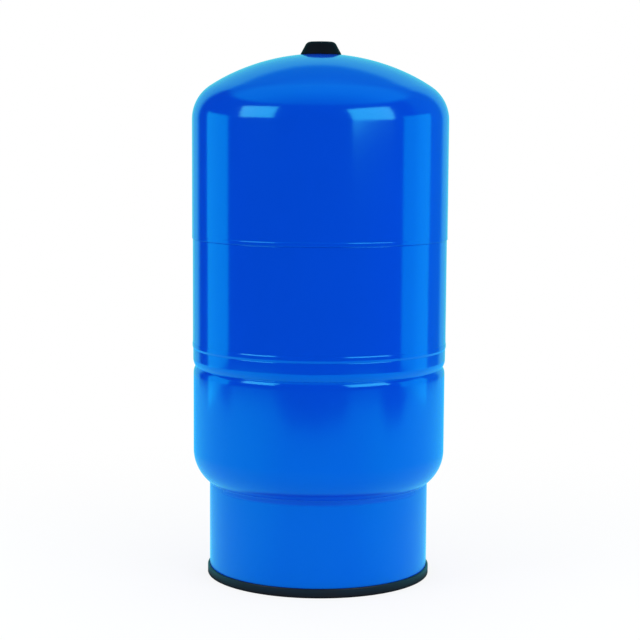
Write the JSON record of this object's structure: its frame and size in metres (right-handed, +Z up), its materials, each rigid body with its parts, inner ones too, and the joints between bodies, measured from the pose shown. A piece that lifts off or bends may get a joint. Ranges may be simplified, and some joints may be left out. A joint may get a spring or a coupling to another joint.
{
  "type": "well pressure tank",
  "caption": "Upright domed steel pressure tank on a ring base, with a rolled groove, an air valve under a cap, and a water port at the back.",
  "frame": {"origin": "centre of the circle that stands on the floor, at floor level", "axes": "+Z up along the tank's axis, +Y towards the water port at the back, -Y towards the front, +X to the right as seen from the front"},
  "size_m": [0.3906, 0.3906, 0.8173],
  "materials": {
    "blue_paint": "gloss",
    "black_plastic": "satin",
    "liner_plastic": "smooth",
    "rubber": "matte",
    "white_seal": "smooth",
    "bare_steel": "satin",
    "brass": "turned"
  },
  "bodies": {
    "tank": {"upper_shell": "blue_paint", "shell_band": "blue_paint", "lower_shell": "blue_paint", "base_skirt": "blue_paint", "base_ring": "black_plastic", "chamber_liner": "liner_plastic", "diaphragm": "rubber", "clamp_ring": "bare_steel", "inlet_spud": "bare_steel", "inlet_gasket": "rubber", "inlet_washer": "bare_steel", "inlet_locknut": "bare_steel", "inlet_elbow": "bare_steel", "outlet_pipe": "bare_steel", "port_coupling": "bare_steel", "valve_boss": "bare_steel", "valve_body": "brass", "valve_o_ring": "rubber", "core_housing": "brass", "core_gasket": "white_seal", "core_spring": "bare_steel"},
    "valve_cap": {"valve_cap": "black_plastic"},
    "valve_pin": {"core_pin": "brass", "core_cup": "brass", "core_cup_seal": "rubber"}
  },
  "joints": [
    {"name": "cap_lift", "type": "slide", "parent": "tank", "child": "valve_cap", "axis": [0, 0, 1], "range_m": [0, 0.04]},
    {"name": "pin_press", "type": "slide", "parent": "tank", "child": "valve_pin", "axis": [0, 0, -1], "range_m": [0, 0.0012], "stiffness_N_per_m": 1500, "deforming": ["core_spring"]}
  ]
}
